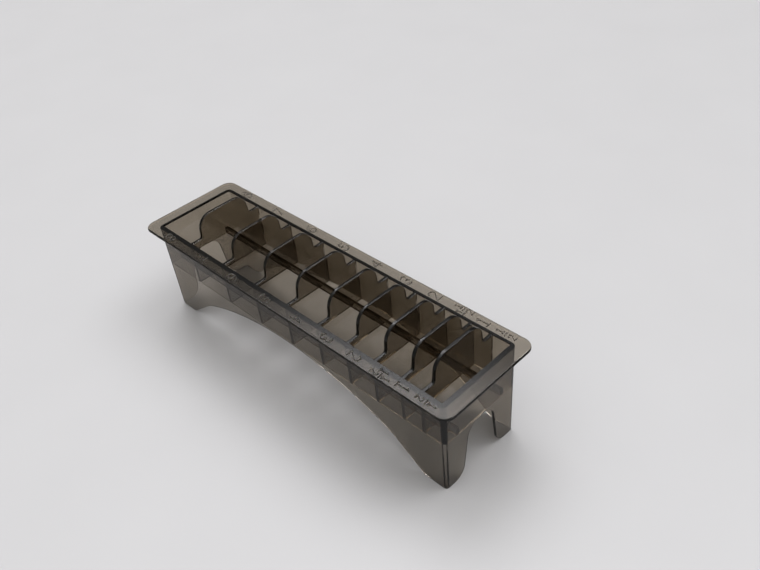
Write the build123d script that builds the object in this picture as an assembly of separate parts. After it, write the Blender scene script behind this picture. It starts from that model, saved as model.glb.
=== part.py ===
from build123d import *
from math import sqrt, tan, radians
import os

# A ten-bay tray on legs that stores the guard combs of a hair clipper.
# +X runs along the tray towards the narrowest bay, +Y from the front long wall to the back one, +Z up.
# The origin is on the table, under the middle of the tray. Sizes are in millimetres.

# Bays: clear width of each at the rim, from the wide end, by the size of comb that it holds
BAYS = {
    "8": 28.8,
    "7": 28.8,
    "6": 26.8,
    "5": 24.8,
    "4": 22.4,
    "3": 19.0,
    "2": 17.2,
    "1_half": 15.8,
    "1": 10.9,
    "half": 10.7,
}
opening_width = 49.2  # across the tray, between the long walls

# Rim
rim_height = 60.0  # top of the rim above the table
rim_thickness = 1.8
rim_side_overhang = 5.9  # how far the rim stands out past the long walls
rim_end_overhang = 7.0  # and past the end walls
rim_corner_radius = 6.5
rim_top_rounding = 0.9
rim_under_rounding = 0.6

# Walls
tub_wall = 2.3  # the walls beside the bays
skirt_wall = 1.5  # the legs and skirts under the bays
skirt_corner_radius = 0.9  # inside the skirt, where its walls meet
tub_depth = 27.2  # from the top of the rim to the foot of the dividers
wall_draft = 0.8  # degrees that the walls lean in towards the table
wall_corner_radius = 3.0
edge_rounding = 0.35  # on the free edges of the arches and feet

# Arch in each long wall: a shallow crown, two straight legs and rounded feet
long_crown_gap = 0.5  # from the crown up to the foot of the dividers
long_crown_radius = 190.0
long_crown_span = 156.0  # from shoulder to shoulder
long_shoulder_radius = 40.0
long_foot_length = 14.2  # along the table, before the foot's corner is rounded
long_foot_radius = 10.0

# Arch in each end wall
end_crown_gap = 0.2
end_crown_radius = 9.0
end_crown_span = 17.28  # between the crown's corners, before they are rounded
end_foot_length = 12.9
end_foot_radius = 7.5

# Dividers: plates that stand up above the rim between two low ledges
divider_thickness = 2.0
divider_ledge = 7.0  # flush with the rim at each side
divider_rise = 13.8  # from the rim to the top of the plate
divider_side_lean = 6.0  # degrees from upright
divider_top_radius = 8.5
divider_ledge_fillet = 1.4
divider_edge_rounding = 0.5

# Rails that the combs stand on
rail_thickness = 2.3
rail_height = 4.0
rail_spacing = 32.9  # between the rails' middles

moulded_gap = 0.02  # between a plate or rail and what it is moulded to, kept so that each stays its own piece

# Size marks, raised on both long sides of the rim
mark_height = 7.2
mark_small_height = 4.2  # the figures of a fraction
mark_whole_height = 5.04  # the whole number beside a fraction
mark_slash_height = 2.52
mark_slash_turn = -60  # degrees, so that the slash lies between the two figures
mark_fraction_shift = 1.51  # of the whole number and the fraction, each away from the middle
mark_stroke = 0.55
mark_relief = 0.4
mark_inset = 4.0  # from the long edges of the rim to the middle of the marks
MARK_SHIFT = {"1": -2.1, "half": -0.7}  # marks that sit off the middle of their bay

# Worked out from the sizes above
opening_length = sum(BAYS.values()) + (len(BAYS) - 1) * divider_thickness
wall_length = opening_length + 2 * tub_wall
wall_width = opening_width + 2 * tub_wall
rim_length = wall_length + 2 * rim_end_overhang
rim_width = wall_width + 2 * rim_side_overhang
tub_floor = rim_height - tub_depth
corner_line = wall_width / 2 - rim_height * tan(radians(wall_draft)) - wall_corner_radius


def lean_in(height):
    """How far a wall has leaned in at a height above the table."""
    return (rim_height - height) * tan(radians(wall_draft))


def tapered_block(length, width, top, bottom, corner=0.0):
    """A block whose sides follow the walls' draft. Its length and width are those at the rim's height."""
    length = length - 2 * lean_in(top)
    width = width - 2 * lean_in(top)
    if corner:
        outline = RectangleRounded(length, width, corner)
    else:
        outline = Rectangle(length, width)
    face = Plane(origin=(0, 0, top), z_dir=(0, 0, -1)) * outline
    return extrude(face, top - bottom, taper=wall_draft)


def tub_space():
    """The inside of the bays, from the rim down to the foot of the dividers, before they divide it."""
    return tapered_block(opening_length, opening_width, rim_height, tub_floor)


def skirt_space():
    """The inside of the skirt, from the foot of the dividers down to the table."""
    length = wall_length - 2 * skirt_wall
    width = wall_width - 2 * skirt_wall
    return tapered_block(length, width, tub_floor, 0, skirt_corner_radius)


def long_elevation():
    """The tray's outline from the front: everything but the wide arch."""
    half_wall = wall_length / 2 - lean_in(0)
    foot = half_wall - long_foot_length
    crown = tub_floor - long_crown_gap
    shoulder = long_crown_span / 2
    shoulder_height = crown - long_crown_radius + sqrt(long_crown_radius**2 - shoulder**2)
    side = wall_length
    outline = [
        Polyline((-shoulder, shoulder_height), (-foot, 0), (-side, 0), (-side, rim_height)),
        Line((-side, rim_height), (side, rim_height)),
        Polyline((side, rim_height), (side, 0), (foot, 0), (shoulder, shoulder_height)),
        ThreePointArc((shoulder, shoulder_height), (0, crown), (-shoulder, shoulder_height)),
    ]
    face = make_face(outline)
    feet = [v for v in face.vertices() if abs(abs(v.X) - foot) < 0.01]
    face = fillet(feet, long_foot_radius)
    shoulders = [v for v in face.vertices() if abs(abs(v.X) - shoulder) < 0.01]
    return fillet(shoulders, long_shoulder_radius)


def end_elevation():
    """The tray's outline from one end: everything but the narrow arch."""
    half_wall = wall_width / 2 - lean_in(0)
    foot = half_wall - end_foot_length
    crown = tub_floor - end_crown_gap
    crown_side = end_crown_span / 2
    side = wall_width
    outline = Polyline(
        (-crown_side, crown),
        (-foot, 0),
        (-side, 0),
        (-side, rim_height),
        (side, rim_height),
        (side, 0),
        (foot, 0),
        (crown_side, crown),
        close=True,
    )
    face = make_face(outline)
    feet = [v for v in face.vertices() if abs(abs(v.X) - foot) < 0.01]
    face = fillet(feet, end_foot_radius)
    crowns = [v for v in face.vertices() if abs(abs(v.X) - crown_side) < 0.01 and v.Y > crown - 0.01]
    return fillet(crowns, end_crown_radius)


def walls():
    """All four walls with their arches, from the underside of the rim down to the table."""
    top = rim_height - rim_thickness
    block = tapered_block(wall_length, wall_width, top, 0, wall_corner_radius)
    across = extrude(Plane.XZ * long_elevation(), wall_width, both=True)
    along = extrude(Plane.YZ * end_elevation(), wall_length, both=True)
    shell = (block - tub_space() - skirt_space()) & across & along
    free = [e for e in shell.edges() if e.bounding_box().max.Z < tub_floor - end_crown_gap / 2]
    across_wall = 1.1 * skirt_wall  # shorter edges run through a wall, and stay sharp
    return fillet([e for e in free if e.length > across_wall], edge_rounding)


def long_walls(shell):
    """The front and back walls, with the tray's rounded corners."""
    depth = wall_width
    shape = Box(rim_length, depth, 2 * rim_height, align=(Align.CENTER, Align.MIN, Align.CENTER))
    back = shell & Pos(0, corner_line, 0) * shape
    front = shell & Pos(0, -corner_line - depth, 0) * shape
    return front, back


def end_walls(shell):
    """The wall beside the widest bay and the one beside the narrowest, between the rounded corners."""
    shape = Box(
        wall_length,
        2 * corner_line,
        2 * rim_height,
        align=(Align.MIN, Align.CENTER, Align.CENTER),
    )
    narrow = shell & shape
    wide = shell & Pos(-wall_length, 0, 0) * shape
    return wide, narrow


def rim():
    """The flat rim round the opening, flush with the top of the walls."""
    outline = RectangleRounded(rim_length, rim_width, rim_corner_radius)
    plate = extrude(Pos(0, 0, rim_height - rim_thickness) * outline, rim_thickness)
    top = plate.faces().sort_by(Axis.Z)[-1].edges()
    plate = fillet(top, rim_top_rounding)
    under = plate.faces().sort_by(Axis.Z)[0].edges()
    plate = fillet(under, rim_under_rounding)
    return plate - tub_space()


def rail(side):
    """One rail, on the side given by -1 for front or 1 for back."""
    shape = Box(opening_length, rail_thickness, rail_height, align=(Align.CENTER, Align.CENTER, Align.MIN))
    inside = tapered_block(
        opening_length - 2 * moulded_gap, opening_width, rim_height, tub_floor
    )
    return (Pos(0, side * rail_spacing / 2, tub_floor) * shape) & inside


def divider_outline():
    """A divider seen from the end of the tray."""
    rim_side = opening_width / 2 - moulded_gap
    foot_side = rim_side - lean_in(tub_floor)
    rise_foot = opening_width / 2 - divider_ledge
    top = rim_height + divider_rise
    rise_top = rise_foot - divider_rise * tan(radians(divider_side_lean))
    outline = Polyline(
        (-foot_side, tub_floor),
        (foot_side, tub_floor),
        (rim_side, rim_height),
        (rise_foot, rim_height),
        (rise_top, top),
        (-rise_top, top),
        (-rise_foot, rim_height),
        (-rim_side, rim_height),
        close=True,
    )
    face = make_face(outline)
    tops = [v for v in face.vertices() if v.Y > top - 0.01]
    face = fillet(tops, divider_top_radius)
    inner = [v for v in face.vertices() if abs(abs(v.X) - rise_foot) < 0.01 and abs(v.Y - rim_height) < 0.01]
    return fillet(inner, divider_ledge_fillet)


def divider(position):
    """A plate across the tray, notched over the two rails, with its upper edges rounded."""
    plate = extrude(Plane.YZ * divider_outline(), divider_thickness / 2, both=True)
    upper = [
        e
        for e in plate.edges()
        if e.bounding_box().min.Z > rim_height - 0.01 and e.bounding_box().size.X < 0.01
    ]
    plate = fillet(upper, divider_edge_rounding)
    notch = Box(
        2 * divider_thickness,
        rail_thickness + 2 * moulded_gap,
        rail_height + moulded_gap,
        align=(Align.CENTER, Align.CENTER, Align.MIN),
    )
    for side in (-1, 1):
        plate -= Pos(0, side * rail_spacing / 2, tub_floor) * notch
    return Pos(position, 0, 0) * plate


def stroke(start, end):
    """A straight stroke with round ends."""
    run = Vector(*end) - Vector(*start)
    middle = Vector(*start) + run / 2
    angle = Vector(1, 0).get_signed_angle(run, Vector(0, 0, 1))
    return Pos(middle.X, middle.Y, 0) * Rot(0, 0, angle) * SlotCenterToCenter(run.length, mark_stroke)


def bow(middle, radius, first, sweep):
    """A curved stroke with round ends, from the angle first, through the angle sweep."""
    return SlotArc(CenterArc(middle, radius, first, sweep), mark_stroke)


def ring(middle, radius):
    """A round stroke that closes on itself."""
    return Pos(*middle) * (Circle(radius + mark_stroke / 2) - Circle(radius - mark_stroke / 2))


def figure(digit, height):
    """The strokes of one figure or of a fraction's slash, as one flat shape."""
    h = height
    if digit == "1":
        strokes = [
            stroke((0.25 * h, 0), (0.25 * h, h)),
            stroke((0.25 * h, h), (0.08 * h, 0.84 * h)),
            stroke((0.03 * h, 0), (0.47 * h, 0)),
        ]
    elif digit == "2":
        tail = Vector(0.25 * h, 0.75 * h) + Vector(0.25 * h, 0).rotate(Axis.Z, -30)
        strokes = [
            bow((0.25 * h, 0.75 * h), 0.25 * h, -30, 200),
            stroke((tail.X, tail.Y), (0, 0)),
            stroke((0, 0), (0.5 * h, 0)),
        ]
    elif digit == "3":
        strokes = [
            bow((0.24 * h, 0.76 * h), 0.24 * h, -90, 240),
            bow((0.24 * h, 0.26 * h), 0.26 * h, -150, 240),
        ]
    elif digit == "4":
        strokes = [
            stroke((0.38 * h, 0), (0.38 * h, h)),
            stroke((0.38 * h, h), (0, 0.3 * h)),
            stroke((0, 0.3 * h), (0.52 * h, 0.3 * h)),
        ]
    elif digit == "5":
        join = Vector(0.22 * h, 0.3 * h) + Vector(0.3 * h, 0).rotate(Axis.Z, 120)
        strokes = [
            bow((0.22 * h, 0.3 * h), 0.3 * h, -145, 265),
            stroke((join.X, join.Y), (0.12 * h, h)),
            stroke((0.12 * h, h), (0.48 * h, h)),
        ]
    elif digit == "6":
        sweep = ThreePointArc((0, 0.26 * h), (0.11 * h, 0.72 * h), (0.42 * h, h))
        strokes = [ring((0.26 * h, 0.26 * h), 0.26 * h), SlotArc(sweep, mark_stroke)]
    elif digit == "7":
        strokes = [stroke((0, h), (0.5 * h, h)), stroke((0.5 * h, h), (0.16 * h, 0))]
    elif digit == "8":
        strokes = [ring((0.26 * h, 0.77 * h), 0.23 * h), ring((0.26 * h, 0.27 * h), 0.27 * h)]
    else:
        strokes = [stroke((0, 0), (0.5 * h, h))]
    shape = strokes[0]
    for other in strokes[1:]:
        shape += other
    return shape


def centred(shape):
    """A flat shape moved so that its box is centred on the origin."""
    middle = shape.bounding_box().center()
    return Pos(-middle.X, -middle.Y, 0) * shape


def fraction():
    """One half, stacked: the 1, a short slash and the 2 under it."""
    step = mark_small_height / 2 + 3 * mark_stroke
    slash = Rot(0, 0, mark_slash_turn) * centred(figure("/", mark_slash_height))
    one = Pos(0, step, 0) * centred(figure("1", mark_small_height))
    two = Pos(0, -step, 0) * centred(figure("2", mark_small_height))
    return [one, slash, two]


def mark(bay, position, side):
    """The size of one bay's comb, raised on the rim: on the front side for -1, the back for 1."""
    if bay == "half":
        shapes = fraction()
    elif bay == "1_half":
        whole = centred(figure("1", mark_whole_height))
        shapes = [Pos(-mark_fraction_shift, 0, 0) * whole]
        shapes += [Pos(mark_fraction_shift, 0, 0) * shape for shape in fraction()]
    else:
        shapes = [centred(figure(bay, mark_height))]
    place = Pos(position, side * (rim_width / 2 - mark_inset), rim_height) * Rot(0, 0, side * 90)
    solids = []
    for shape in shapes:
        solids += extrude(place * shape, mark_relief).solids()
    return Compound(children=solids)


def main():
    os.makedirs("parts", exist_ok=True)
    shell = walls()
    front, back = long_walls(shell)
    wide, narrow = end_walls(shell)
    nodes = {
        "rim_flange": rim(),
        "long_wall_front": front,
        "long_wall_back": back,
        "end_wall_wide": wide,
        "end_wall_narrow": narrow,
        "rail_front": rail(-1),
        "rail_back": rail(1),
    }
    start = -opening_length / 2
    names = list(BAYS)
    for i, name in enumerate(names):
        middle = start + BAYS[name] / 2 + MARK_SHIFT.get(name, 0)
        nodes[f"mark_front_{name}"] = mark(name, middle, -1)
        nodes[f"mark_back_{name}"] = mark(name, middle, 1)
        start += BAYS[name] + divider_thickness
        if i < len(names) - 1:
            nodes[f"divider_{name}_to_{names[i + 1]}"] = divider(start - divider_thickness / 2)
    for name, shape in nodes.items():
        export_step(shape, f"parts/{name}.step")


main()
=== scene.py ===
from math import cos, radians, sin

import bmesh
import bpy
from mathutils import Matrix, Vector


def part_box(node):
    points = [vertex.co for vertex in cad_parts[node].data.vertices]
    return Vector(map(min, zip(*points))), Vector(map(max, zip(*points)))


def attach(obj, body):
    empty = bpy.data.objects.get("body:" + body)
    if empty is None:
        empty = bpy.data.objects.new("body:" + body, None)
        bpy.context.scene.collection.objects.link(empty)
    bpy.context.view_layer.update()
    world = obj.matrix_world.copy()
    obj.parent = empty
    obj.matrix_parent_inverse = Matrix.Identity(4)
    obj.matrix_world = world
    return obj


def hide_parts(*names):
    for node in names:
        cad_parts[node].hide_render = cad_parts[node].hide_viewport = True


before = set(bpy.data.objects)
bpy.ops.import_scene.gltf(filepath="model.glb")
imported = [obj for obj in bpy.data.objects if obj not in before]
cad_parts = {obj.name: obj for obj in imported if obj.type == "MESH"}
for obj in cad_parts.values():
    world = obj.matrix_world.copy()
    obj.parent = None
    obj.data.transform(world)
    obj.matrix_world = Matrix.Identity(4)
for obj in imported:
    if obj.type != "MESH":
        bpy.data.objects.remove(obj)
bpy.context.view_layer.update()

# A ten-bay tray of clear smoke-grey plastic, standing on a pale table under soft light.
# Lengths are in metres, in the CAD frame: +X towards the narrowest bay, +Y to the back, +Z up.

# Camera
CAMERA_PLACE = (0.2811, -0.2045, 0.3294)
CAMERA_AZIMUTH = 48.39  # degrees round from the front, towards +X
CAMERA_ELEVATION = 38.88
CAMERA_ROLL = -6.13
CAMERA_LENS = 38.5  # mm, on a 36 mm sensor

# The plastic, and how it filters light on its way through
PLASTIC_IOR = 1.53
PLASTIC_TINT = (0.475, 0.41, 0.305, 1.0)
PLASTIC_DENSITY = 750.0  # per metre of plastic

# The figures on the rim are duller than the rest; their denser tint is painted shade, darkening the strokes
# against the sheen on the rim
MARK_PAINTED_SHADE_DENSITY = 1200.0
MARK_ROUGHNESS = 0.4
MARK_REFLECTION = 0.2

# Light: a dim room, brighter in front of the tray
ROOM_BEHIND = 0.33
ROOM_IN_FRONT = 0.65
ROOM_FRONT = (0.45, -0.89, 0.0)
ROOM_LOW = 0.55  # how much of that is left down at the level of the table
ROOM_HIGH_FROM = radians(30)  # and how high up it is whole
ROOM_COLOUR = (1.0, 0.985, 0.955, 1.0)

# Soft lamps: where each is, the angles from its middle where it starts and ends to fade, and its brightness
LAMPS = (
    ((0.05, 0.0, 1.0), radians(30), radians(60), 1.3),
    ((-0.45, 0.25, 0.857), radians(10), radians(22), 3.4),
    ((0.3, 0.5, 0.81), radians(10), radians(22), 3.1),
)
LAMP_COLOUR = (0.98, 0.975, 1.0, 1.0)

# Figures on the rim, with their upper edges rounded over
FIGURE_ROUNDING = 0.00024
FIGURE_ROOT = 0.0001  # how deep they reach into the rim
SAME_HEIGHT = 1e-6  # corners this near the top or the foot of a figure belong to it

SHELL_NODES = ("rim_flange", "long_wall_front", "long_wall_back", "end_wall_wide", "end_wall_narrow")
SHARP_ANGLE = radians(32)
WELD = 1e-7  # corners closer than this are one corner
SLIVER = 2e-6  # edges shorter than this are closed up before the shading
TABLE_HALF = 2.0

# Render settings for many layers of clear plastic, and the picture's contrast
BOUNCES = 40
PICTURE_GAMMA = 0.8


# Nodes and materials


def new_material(name):
    """An empty node material and its tree."""
    material = bpy.data.materials.new(name)
    material.use_nodes = True
    material.node_tree.nodes.clear()
    return material, material.node_tree


def add(tree, kind, **values):
    """A node with its sockets or properties set by name."""
    node = tree.nodes.new(kind)
    for name, value in values.items():
        socket = node.inputs.get(name.replace("_", " "))
        if socket is not None:
            socket.default_value = value
        else:
            setattr(node, name, value)
    return node


def noise(tree, coordinates, scale, detail=3.0, roughness=0.5):
    """Noise whose scale is in cells per metre."""
    node = add(tree, "ShaderNodeTexNoise", Scale=scale, Detail=detail, Roughness=roughness)
    tree.links.new(coordinates, node.inputs["Vector"])
    return node.outputs["Fac"]


def spread(tree, value, low, high, to_low, to_high, form="LINEAR"):
    """Maps a range of one value to another range, and holds it there."""
    node = add(tree, "ShaderNodeMapRange", clamp=True, interpolation_type=form)
    for socket, number in zip(("From Min", "From Max", "To Min", "To Max"), (low, high, to_low, to_high)):
        node.inputs[socket].default_value = number
    tree.links.new(value, node.inputs["Value"])
    return node.outputs["Result"]


def combined(tree, first, second, operation):
    """Two values added or multiplied."""
    node = add(tree, "ShaderNodeMath", operation=operation)
    tree.links.new(first, node.inputs[0])
    tree.links.new(second, node.inputs[1])
    return node.outputs[0]


def smoke_plastic(name, density, roughness, reflection):
    """Clear moulded plastic, tinted smoke grey: gloss broken by handling marks, over faint flow waves."""
    material, tree = new_material(name)
    place = add(tree, "ShaderNodeTexCoord").outputs["Object"]

    smudges = spread(tree, noise(tree, place, 55.0, 4.0), 0.5, 0.72, 0.0, 0.01)
    hairlines = spread(tree, noise(tree, place, 1900.0, 2.0), 0.62, 0.8, 0.0, 0.02)
    wear = combined(tree, smudges, hairlines, "ADD")
    gloss = spread(tree, wear, 0.0, 0.04, roughness, roughness + 0.02)

    flow = spread(tree, noise(tree, place, 38.0, 2.0), 0.0, 1.0, 0.0, 1.0)
    bump = add(tree, "ShaderNodeBump", Strength=0.05, Distance=0.0006)
    tree.links.new(flow, bump.inputs["Height"])

    streaks = noise(tree, place, 22.0, 3.0)
    tone = add(tree, "ShaderNodeMix", data_type="RGBA")
    tone.inputs["A"].default_value = (0.99, 0.99, 0.99, 1.0)
    tone.inputs["B"].default_value = (0.95, 0.95, 0.945, 1.0)
    tree.links.new(streaks, tone.inputs["Factor"])

    surface = add(tree, "ShaderNodeBsdfPrincipled", IOR=PLASTIC_IOR)
    surface.inputs["Transmission Weight"].default_value = 1.0
    surface.inputs["Specular IOR Level"].default_value = reflection
    tree.links.new(tone.outputs["Result"], surface.inputs["Base Color"])
    tree.links.new(gloss, surface.inputs["Roughness"])
    tree.links.new(bump.outputs["Normal"], surface.inputs["Normal"])

    inside = add(tree, "ShaderNodeVolumeAbsorption", Color=PLASTIC_TINT, Density=density)
    output = add(tree, "ShaderNodeOutputMaterial")
    tree.links.new(surface.outputs["BSDF"], output.inputs["Surface"])
    tree.links.new(inside.outputs["Volume"], output.inputs["Volume"])
    return material


def table_top():
    """Pale matt board with a faint grain."""
    material, tree = new_material("table_top")
    place = add(tree, "ShaderNodeTexCoord").outputs["Object"]
    tone = add(tree, "ShaderNodeMix", data_type="RGBA")
    tone.inputs["A"].default_value = (0.447, 0.447, 0.449, 1.0)
    tone.inputs["B"].default_value = (0.467, 0.467, 0.469, 1.0)
    tree.links.new(noise(tree, place, 14.0), tone.inputs["Factor"])
    bump = add(tree, "ShaderNodeBump", Strength=0.04, Distance=0.0004)
    tree.links.new(noise(tree, place, 900.0), bump.inputs["Height"])
    surface = add(tree, "ShaderNodeBsdfPrincipled", Roughness=0.55)
    tree.links.new(tone.outputs["Result"], surface.inputs["Base Color"])
    tree.links.new(bump.outputs["Normal"], surface.inputs["Normal"])
    output = add(tree, "ShaderNodeOutputMaterial")
    tree.links.new(surface.outputs["BSDF"], output.inputs["Surface"])
    return material


# Meshes


def welded_copy(node):
    """A copy of a CAD node's mesh with its loose corners joined."""
    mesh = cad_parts[node].data.copy()
    shape = bmesh.new()
    shape.from_mesh(mesh)
    bmesh.ops.remove_doubles(shape, verts=shape.verts, dist=WELD)
    shape.to_mesh(mesh)
    shape.free()
    piece = bpy.data.objects.new(f"{node}_copy", mesh)
    bpy.context.scene.collection.objects.link(piece)
    return piece


def fused(name, nodes):
    """One closed skin round several CAD nodes that are moulded together."""
    base, *others = [welded_copy(node) for node in nodes]
    for other in others:
        union = base.modifiers.new(other.name, "BOOLEAN")
        union.operation = "UNION"
        union.solver = "EXACT"
        union.object = other
    graph = bpy.context.evaluated_depsgraph_get()
    mesh = bpy.data.meshes.new_from_object(base.evaluated_get(graph))
    for piece in (base, *others):
        bpy.data.objects.remove(piece)
    mesh.name = name
    piece = bpy.data.objects.new(name, mesh)
    bpy.context.scene.collection.objects.link(piece)
    return piece


def smooth(piece):
    """Rounds shade smoothly and flats stay flat."""
    shape = bmesh.new()
    shape.from_mesh(piece.data)
    bmesh.ops.remove_doubles(shape, verts=shape.verts, dist=SLIVER)
    bmesh.ops.dissolve_degenerate(shape, edges=shape.edges, dist=SLIVER)
    for face in shape.faces:
        face.smooth = True
    for edge in shape.edges:
        edge.smooth = edge.is_manifold and edge.calc_face_angle() < SHARP_ANGLE
    shape.to_mesh(piece.data)
    shape.free()
    weighted = piece.modifiers.new("flats", "WEIGHTED_NORMAL")
    weighted.keep_sharp = True
    weighted.weight = 100


def figure(node):
    """A size mark with its strokes rounded over, rooted in the rim as it is moulded."""
    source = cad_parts[node]
    low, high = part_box(node)
    mesh = source.data.copy()
    mesh.name = node.replace("mark", "figure")
    shape = bmesh.new()
    shape.from_mesh(mesh)
    bmesh.ops.remove_doubles(shape, verts=shape.verts, dist=WELD)
    bmesh.ops.dissolve_limit(shape, angle_limit=radians(1), verts=shape.verts, edges=shape.edges)
    upper = [e for e in shape.edges if min(v.co.z for v in e.verts) > high.z - SAME_HEIGHT]
    bmesh.ops.bevel(
        shape,
        geom=upper,
        offset=FIGURE_ROUNDING,
        segments=3,
        profile=0.5,
        affect="EDGES",
        clamp_overlap=True,
    )
    for corner in shape.verts:
        if corner.co.z < low.z + SAME_HEIGHT:
            corner.co.z -= FIGURE_ROOT
    bmesh.ops.triangulate(shape, faces=shape.faces)
    shape.to_mesh(mesh)
    shape.free()
    piece = bpy.data.objects.new(mesh.name, mesh)
    bpy.context.scene.collection.objects.link(piece)
    smooth(piece)
    paint(piece, mark_plastic)
    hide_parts(node)
    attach(piece, "root")


def paint(piece, material):
    """Every face of a piece takes one material."""
    piece.data.materials.clear()
    piece.data.materials.append(material)


# The tray

plastic = smoke_plastic("smoke_plastic", PLASTIC_DENSITY, 0.0, 0.5)
# The figures' denser tint is painted shade that darkens their strokes against the rim's sheen
mark_plastic = smoke_plastic("mark_plastic", MARK_PAINTED_SHADE_DENSITY, MARK_ROUGHNESS, MARK_REFLECTION)

shell = fused("tray_shell", SHELL_NODES)
smooth(shell)
paint(shell, plastic)
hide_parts("rim_flange", "long_wall_front", "long_wall_back", "end_wall_wide", "end_wall_narrow")
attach(shell, "root")

for name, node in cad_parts.items():
    if name.startswith("mark"):
        figure(name)
    elif name not in SHELL_NODES:
        for slot in node.material_slots:
            slot.material = plastic

# The stage


def floor():
    """A wide flat table under the tray."""
    far = TABLE_HALF
    mesh = bpy.data.meshes.new("table")
    corners = [(-far, -far, 0), (far, -far, 0), (far, far, 0), (-far, far, 0)]
    mesh.from_pydata(corners, [], [(0, 1, 2, 3)])
    piece = bpy.data.objects.new("table", mesh)
    bpy.context.scene.collection.objects.link(piece)
    paint(piece, table_top())


def facing(tree, direction, towards):
    """How nearly a direction points one way, from -1 to 1."""
    node = add(tree, "ShaderNodeVectorMath", operation="DOT_PRODUCT")
    node.inputs[1].default_value = towards
    tree.links.new(direction, node.inputs[0])
    return node.outputs["Value"]


def studio():
    """Soft light from all round, and from three lamps above."""
    world = bpy.data.worlds.new("studio")
    world.use_nodes = True
    tree = world.node_tree
    direction = add(tree, "ShaderNodeTexCoord").outputs["Generated"]
    across = spread(tree, facing(tree, direction, ROOM_FRONT), -1.0, 1.0, ROOM_BEHIND, ROOM_IN_FRONT)
    upward = spread(tree, facing(tree, direction, (0.0, 0.0, 1.0)), 0.0, sin(ROOM_HIGH_FROM), ROOM_LOW, 1.0)
    room = combined(tree, across, upward, "MULTIPLY")
    back = tree.nodes["Background"]
    back.inputs["Color"].default_value = ROOM_COLOUR
    tree.links.new(room, back.inputs["Strength"])
    light = back.outputs["Background"]
    for towards, inner, outer, brightness in LAMPS:
        near = facing(tree, direction, towards)
        lamp = add(tree, "ShaderNodeBackground", Color=LAMP_COLOUR)
        glow = spread(tree, near, cos(outer), cos(inner), 0.0, 1.0, "SMOOTHSTEP")
        tree.links.new(spread(tree, glow, 0.0, 1.0, 0.0, brightness), lamp.inputs["Strength"])
        both = add(tree, "ShaderNodeAddShader")
        tree.links.new(light, both.inputs[0])
        tree.links.new(lamp.outputs["Background"], both.inputs[1])
        light = both.outputs["Shader"]
    tree.links.new(light, tree.nodes["World Output"].inputs["Surface"])
    bpy.context.scene.world = world


def camera():
    """The view from above the narrow end's front corner."""
    turn, rise, roll = radians(CAMERA_AZIMUTH), radians(CAMERA_ELEVATION), radians(CAMERA_ROLL)
    back = Vector((sin(turn) * cos(rise), -cos(turn) * cos(rise), sin(rise)))
    right = Vector((0, 0, 1)).cross(back).normalized()
    up = back.cross(right)
    right, up = cos(roll) * right + sin(roll) * up, cos(roll) * up - sin(roll) * right
    lens = bpy.data.cameras.new("camera")
    lens.lens = CAMERA_LENS
    lens.clip_start = 0.01
    viewer = bpy.data.objects.new("camera", lens)
    viewer.matrix_world = Matrix.Translation(CAMERA_PLACE) @ Matrix((right, up, back)).transposed().to_4x4()
    bpy.context.scene.collection.objects.link(viewer)
    bpy.context.scene.camera = viewer


floor()
studio()
camera()

scene = bpy.context.scene
scene.view_settings.view_transform = "Standard"
scene.view_settings.gamma = PICTURE_GAMMA
scene.cycles.max_bounces = BOUNCES
scene.cycles.transmission_bounces = BOUNCES
